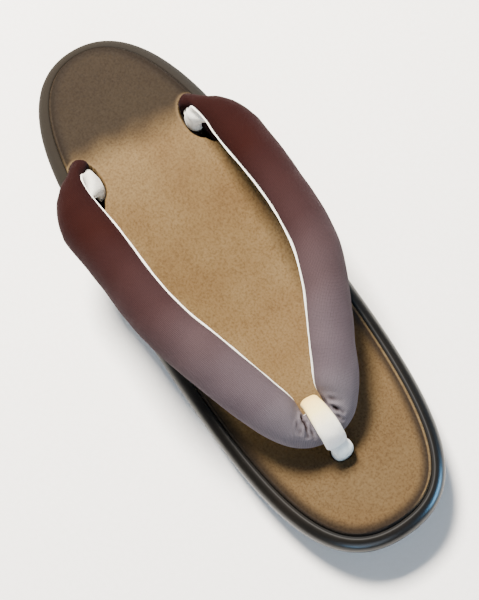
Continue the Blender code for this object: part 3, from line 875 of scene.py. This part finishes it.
def make_wrapped_side(finish):
    """The wedge's wrapped side, with its rounded nose, its rim and the bed it holds."""
    bottom = OUTSOLE_THICKNESS + GAP

    def wall(share):
        def level(along):
            low = ground_height(along) + bottom
            return low + (tread_height(along) - NOSE_DEPTH - low) * share
        return level

    def below(drop):
        return lambda along: tread_height(along) - drop

    profile = [(UNDERCUT + more, wall(0.0)) for more in WRAP_STARTS]
    for step in range(1, WALL_STEPS):
        share = step / WALL_STEPS
        profile.append((UNDERCUT * (1 - share) ** UNDERCUT_CURVE, wall(share)))
    for step in range(NOSE_STEPS + 1):
        turn = pi / 2 * step / NOSE_STEPS
        inset = (RIM_WIDTH - RIM_ROUND) * (1 - cos(turn))
        profile.append((inset, below(NOSE_DEPTH - (NOSE_DEPTH - RIM_DROP) * sin(turn))))
    against = RIM_WIDTH + GAP - BED_PRESS
    for short, drop in RIM_TURN:
        profile.append((against - short, below(RIM_DROP + drop)))
    profile.append((against, below(FOOTBED_THICKNESS + GAP)))

    shape = bmesh.new()
    tucked = shape.verts.layers.float.new("tucked")
    rings = open_body(shape, [
        at_height(whole_outline(OUTLINE_STEPS, inset), level) for inset, level in profile])
    for ring in rings[:LOW_RINGS] + rings[-INNER_RINGS:]:
        for vertex in ring:
            vertex[tucked] = 1.0
    cross_fill(shape, rings[0])
    cross_fill(shape, rings[-1])
    bmesh.ops.recalc_face_normals(shape, faces=shape.faces[:])
    return piece("wrapped_side", shape, finish, ["base"])


def cross_fill(shape, ring):
    """Closes a ring with strips that run straight across the sole, to a triangle at each tip."""
    for index in range(len(ring) // 2):
        strip = [ring[index], ring[index + 1], ring[-index - 1], ring[-index]]
        bmesh.ops.contextual_create(shape, geom=list(dict.fromkeys(strip)))


def oval_distance(ahead, away, reach, depth):
    """Rough distance from the edge of an oval: below zero inside it."""
    spread = max(hypot(ahead / reach, away / depth), LEAST_SPREAD)
    return hypot(ahead, away) * (1.0 - 1.0 / spread)


def slot_distance(along, out):
    """From the nearer strap slot, which is cut short at the toe end of its inner side."""
    ahead = along - SLOT_ALONG
    away = abs(out) - SLOT_OUT
    reach = SLOT_LENGTH / 2 + SLOT_END_MARGIN
    if ahead > 0:
        reach -= SLOT_TOE_CUT * smoothstep(-away, 0.0, SLOT_TOE_CURVE)
    outer = SLOT_PAD + SLOT_OUTER_MARGIN
    inner = BACKING_BULGE + SLOT_INNER_MARGIN
    return oval_distance(ahead, away, reach, outer if away > 0 else inner)


def post_distance(along, out):
    """From the hole that the post goes into."""
    reach = POST_THICKNESS / 2 + HOLE_MARGIN
    depth = POST_WIDTH / 2 + HOLE_MARGIN
    return oval_distance(along - POST_ALONG, out - POST_OUT, reach, depth)


def border_distance(tree, border, along, out):
    """Distance from the nearest of the border's short straight pieces."""
    spot = Vector((along, out))
    nearest = tree.find((along, out, 0))[1]
    distances = []
    for start in (nearest - 1, nearest):
        first = border[start]
        run = border[(start + 1) % len(border)] - first
        share = min(max((spot - first).dot(run) / run.length_squared, 0.0), 1.0)
        distances.append((spot - first - run * share).length)
    return min(distances)


def half_width(half, along):
    """Half the width of the footbed at a distance from the heel tip."""
    after = min(max(bisect(half, along, key=lambda point: point.x), 1), len(half) - 1)
    near, far = half[after - 1], half[after]
    share = (along - near.x) / max(far.x - near.x, TINY)
    return near.y + (far.y - near.y) * min(max(share, 0.0), 1.0)


def round_grid(shape, half, rows, columns):
    """A grid drawn into the footbed's outline, in plan."""
    grid = bmesh.ops.create_grid(shape, x_segments=rows, y_segments=columns, size=1.0)
    first, last = half[0].x, half[-1].x
    for vertex in grid["verts"]:
        x, y = vertex.co.x, vertex.co.y
        ahead = x * (1 - y * y / 2) ** 0.5
        aside = y * (1 - x * x / 2) ** 0.5
        along = first + (last - first) * (ahead + 1) / 2
        chord = max(1 - ahead * ahead, TINY) ** 0.5
        out = min(max(aside / chord, -1.0), 1.0) * half_width(half, along)
        vertex.co = (along, out, 0.0)
    return grid["verts"]


def make_footbed(finish):
    """The padded top sheet, with a bead round its edge and its slots drawn in."""
    border = whole_outline(BORDER_STEPS, RIM_WIDTH + GAP)
    half = [point for point in border if point.y >= 0]
    half.sort(key=lambda point: point.x)
    tree = KDTree(len(border))
    for index, point in enumerate(border):
        tree.insert((point.x, point.y, 0), index)
    tree.balance()

    shape = bmesh.new()
    edge_layer = shape.verts.layers.float.new("edge")
    lip_light_and_pit_shade = shape.verts.layers.float.new("slot")
    for vertex in round_grid(shape, half, BED_ROWS, BED_COLUMNS):
        along, out = vertex.co.x, vertex.co.y
        inside = border_distance(tree, border, along, out)
        round_in = min(inside / SHOULDER_WIDTH, 1.0)
        drop = SHOULDER_DROP * (1.0 - (1.0 - (1.0 - round_in) ** 2) ** 0.5)
        bead = BEAD_HEIGHT * bell(inside, BEAD_PLACE, BEAD_WIDTH)
        slot, hole = slot_distance(along, out), post_distance(along, out)
        lip = bell(slot, LIP_PLACE, LIP_WIDTH) if slot > 0 else 0.0
        lip *= 1.0 - smoothstep(along, LIP_FULL, LIP_GONE)
        sunk = sum(smoothstep(-away, SINK_START, SINK_END) for away in (slot, hole))
        sunk = min(sunk, 1.0)
        dip = DIP_DEPTH * bell(max(hole, 0.0), 0.0, DIP_WIDTH)
        swell = BED_SWELL * noise.noise(Vector((along, out, 0)) / BED_SWELL_REACH)
        level = tread_height(along) - drop + bead - dip + LIP_HEIGHT * lip
        level += swell - SINK_DEPTH * sunk
        vertex.co = (along - LENGTH / 2, out, level)
        # the distance in from the edge places the painted shade on the shoulder and the painted
        # highlight on the bead
        vertex[edge_layer] = inside
        # painted shade inside the slots and the post's hole, less the painted highlight on the
        # slots' lips
        vertex[lip_light_and_pit_shade] = sunk - lip

    rim = [edge for edge in shape.edges if edge.is_boundary]
    drawn = bmesh.ops.extrude_edge_only(shape, edges=rim)["geom"]
    for part in drawn:
        if isinstance(part, bmesh.types.BMVert):
            part.co.z = tread_height(part.co.x + LENGTH / 2) - FOOTBED_THICKNESS
    bmesh.ops.contextual_create(
        shape, geom=[part for part in drawn if isinstance(part, bmesh.types.BMEdge)])
    bmesh.ops.triangulate(shape, faces=[face for face in shape.faces if len(face.verts) > 4])
    bmesh.ops.recalc_face_normals(shape, faces=shape.faces[:])
    made = piece("footbed_sheet", shape, finish, ["footbed"])
    made.data.set_sharp_from_angle(angle=radians(SHARP_ANGLE))
    return made


def slot_share(section):
    """1 where an arm stands in its slot, down to 0 where its backing has become thin."""
    thin = ARM[-1].backing * BACKING_BULGE
    return smoothstep(section.backing, thin, BACKING_BULGE)


def pad_points(sections, index):
    """D-shaped ring from the middle of its flat face; in the slot its heel edge rolls in."""
    section = sections[index]
    roll = slot_share(section) * HEEL_ROLL
    points = []
    for share, rolled in HEEL_EDGE:
        flat = section.centre + section.across * (share * section.width)
        points.append(flat - section.outward * (rolled * roll))
    for step in range(PAD_STEPS + 1):
        turn = pi * step / PAD_STEPS
        wide = cos(turn) * section.width / 2
        out = abs(sin(turn)) ** PAD_FULLNESS * section.pad
        points.append(section.centre + section.across * wide + section.outward * out)
    for share in TOE_EDGE:
        points.append(section.centre + section.across * (share * section.width))
    return points


def backing_points(sections, index, toe_trim):
    """A strip behind the strap's flat face, thickest at the slot."""
    section = sections[index]
    before, after = sections[max(index - 1, 0)], sections[index + 1]

    def behind(wide, depth):
        run = after.centre + after.across * wide - before.centre - before.across * wide
        square = section.across.cross(run).normalized()
        return section.centre + section.across * wide - square * depth

    wave = noise.noise(section.centre / EDGE_WAVE_LENGTH) * EDGE_WAVE
    half = section.width / 2 + section.margin * EDGE_SHARE + wave * (1 - slot_share(section))
    upper = half - slot_share(section) * NUB_HEEL_TRIM * section.width
    lower = slot_share(section) * toe_trim * section.width - half
    middle, reach = (upper + lower) / 2, (upper - lower) / 2
    points = [behind(middle + share * reach, GAP) for share in (0.0, 0.5)]
    for step in range(BACKING_STEPS + 1):
        turn = pi * step / BACKING_STEPS
        depth = GAP + abs(sin(turn)) ** BACKING_FULLNESS * section.backing
        points.append(behind(middle + cos(turn) * reach, depth))
    points.append(behind(middle - 0.5 * reach, GAP))
    return points


def both_arms(ring_of, left_values=(), right_values=()):
    """Rings up the left arm, over the junction and down the right arm."""
    sections = arm_sections()
    count = len(sections) - 1
    left = [ring_of(sections, index, *left_values) for index in range(count)]
    right = [ring_of(sections, index, *right_values) for index in range(count - 1)]
    right = [[Vector((p.x, -p.y, p.z)) for p in ring] for ring in reversed(right)]
    places = [section.centre.x + LENGTH / 2 for section in sections[:-1]]
    places += reversed(places[:-1])
    return [leaning(ring, along) for ring, along in zip(left + right, places)]


def lay_weave(layer, rings):
    """Gives each vertex its place in the cloth: metres along the arm and round it."""
    along = 0.0
    for index, ring in enumerate(rings):
        if index:
            before = rings[index - 1]
            lengths = [(new.co - old.co).length for new, old in zip(ring, before)]
            along += sum(lengths) / len(ring)
        around = 0.0
        for step, vertex in enumerate(ring):
            if step:
                around += (vertex.co - ring[step - 1].co).length
            vertex[layer] = (along, around, 0.0)


def make_strap(finish):
    """The padded strap: two arms that meet under the loop."""
    shape = bmesh.new()
    weave = shape.verts.layers.float_vector.new("weave")
    # the folds' depth, which places the painted shade in them
    fold = shape.verts.layers.float.new("fold")
    rings = closed_body(shape, both_arms(pad_points))
    lay_weave(weave, rings)
    settle(shape, STRAP_FOLDS, *STRAP_UNEVEN, fold)
    made = piece("padded_strap", shape, finish, ["strap"], 1)
    return made


def make_backing(finish):
    """The felt behind the strap, which shows as a thin edge and as a roll at each slot."""
    shape = bmesh.new()
    closed_body(shape, both_arms(backing_points, (LEFT_NUB_TRIM,), (RIGHT_NUB_TRIM,)))
    settle(shape, BACKING_FOLDS, *BACKING_UNEVEN)
    made = piece("felt_backing", shape, finish, ["strap_backing"], 1)
    return made


def oval_points(centre, normal, width, thickness):
    """A flat oval with full sides."""
    points = []
    for step in range(OVAL_STEPS):
        turn = 2 * pi * step / OVAL_STEPS
        side = copysign(abs(cos(turn)) ** OVAL_FULLNESS, cos(turn)) * width / 2
        rise = copysign(abs(sin(turn)) ** OVAL_FULLNESS, sin(turn)) * thickness / 2
        points.append(centre + Vector((0, side, 0)) + normal * rise)
    return points


def loop_spot(row):
    """Centre and outer direction of the loop at a row of its profile."""
    neck = arm_sections()[-2]
    turn = radians(row.angle)
    reach = GAP + row.lift * LOOP_THICKNESS
    radius = neck.width / 2 + neck.margin + reach
    height = neck.pad + reach
    if turn < 0:
        height = GAP + neck.backing + reach
    settled = Vector((neck.centre.x, NECK_OUT, neck.centre.z))
    run = neck.across * (cos(turn) * radius)
    rise = neck.outward * (sin(turn) * height)
    normal = neck.across * (cos(turn) / radius) + neck.outward * (sin(turn) / height)
    return settled + run + rise, normal.normalized()


def make_loop(finish):
    """The cotton loop over the junction."""
    rings = []
    for values in spline(LOOP, LOOP_STEPS):
        row = LoopRow(*values)
        centre, normal = loop_spot(row)
        rings.append(oval_points(centre, normal, row.width * LOOP_WIDTH, LOOP_THICKNESS))
    shape = bmesh.new()
    closed_body(shape, rings)
    settle(shape, (), *LOOP_UNEVEN)
    made = piece("toe_loop", shape, finish, ["front_loop"], 1)
    return made


def make_post(finish):
    """The post from the loop's end down into the sole."""
    floor = tread_height(POST_ALONG)
    end, normal = loop_spot(LOOP[-1])
    top = end - normal.cross(Vector((0, 1, 0))) * GAP
    ahead = Vector((1, 0, 0))
    foot = Vector((POST_ALONG - LENGTH / 2, POST_OUT, floor - POST_PLUG_DEPTH))
    rows = [(*foot, *ahead, POST_WIDTH, POST_THICKNESS)]
    for row in POST:
        level = floor + row.rise * (top.z - floor)
        spot = Vector((foot.x + row.shift * POST_THICKNESS, foot.y, level))
        rows.append((*spot, *ahead, row.girth * POST_WIDTH, row.girth * POST_THICKNESS))
    width = POST_TOP_SHARE * LOOP[-1].width * LOOP_WIDTH
    rows.append((*top, *normal, width, POST_TOP_SHARE * LOOP_THICKNESS))
    rings = []
    for *place, width, thickness in spline(rows, POST_STEPS):
        direction = Vector(place[3:]).normalized()
        rings.append(oval_points(Vector(place[:3]), direction, width, thickness))
    shape = bmesh.new()
    closed_body(shape, rings)
    settle(shape, (), *POST_UNEVEN)
    made = piece("toe_post", shape, finish, ["front_post"], 1)
    return made


def make_floor(finish):
    """A wide sheet of paper under the sandal."""
    shape = bmesh.new()
    bmesh.ops.create_grid(
        shape, x_segments=FLOOR_CELLS, y_segments=FLOOR_CELLS, size=FLOOR_HALF)
    floor = surfaced("paper_floor", shape, finish)


# Camera and lights


def make_camera():
    """Above the toe and to the right, as in the photo, turned so that one shoe fills the view."""
    ahead = Vector(CAMERA_AHEAD).normalized()
    right = Vector(CAMERA_RIGHT).normalized()
    up = right.cross(ahead)
    place = Matrix((right, up, -ahead)).transposed().to_4x4()
    place.translation = CAMERA_SPOT
    data = bpy.data.cameras.new("camera")
    data.lens = LENS
    data.sensor_width = SENSOR
    camera = placed("camera", data)
    camera.matrix_world = place
    bpy.context.scene.camera = camera


def area_light(lamp):
    """A soft light that faces its aim."""
    data = bpy.data.lights.new(lamp.name, "AREA")
    data.shape = "RECTANGLE"
    data.size, data.size_y = lamp.size
    data.energy = lamp.power
    data.color = colour(lamp.tint)[:3]
    made = placed(lamp.name, data)
    made.location = lamp.spot
    direction = Vector(lamp.aim) - Vector(lamp.spot)
    made.rotation_euler = direction.to_track_quat("-Z", "Y").to_euler()
    return made


def make_lights():
    """A big soft light high behind the heel, a fill, and two cool windows past the toe."""
    for lamp in SOFT_LIGHTS:
        area_light(lamp)
    # the windows show as reflections alone, and leave the shadow at the toe dark
    for lamp in WINDOWS:
        area_light(lamp).visible_diffuse = False
    world = bpy.data.worlds.new("studio")
    bpy.context.scene.world = world
    world.use_nodes = True
    shade = world.node_tree.nodes["Background"]
    shade.inputs["Color"].default_value = colour(ROOM_TINT)
    shade.inputs["Strength"].default_value = ROOM_LIGHT


make_camera()
make_lights()
make_floor(pale_floor())

make_wrapped_side(glossy_wrap())
make_footbed(bronze_leather())
make_strap(shaded_cloth())
make_backing(white_felt())
cotton = white_cloth()
make_loop(cotton)
make_post(cotton)

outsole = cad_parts["outsole"]
outsole.data.materials.clear()
outsole.data.materials.append(sole_rubber())
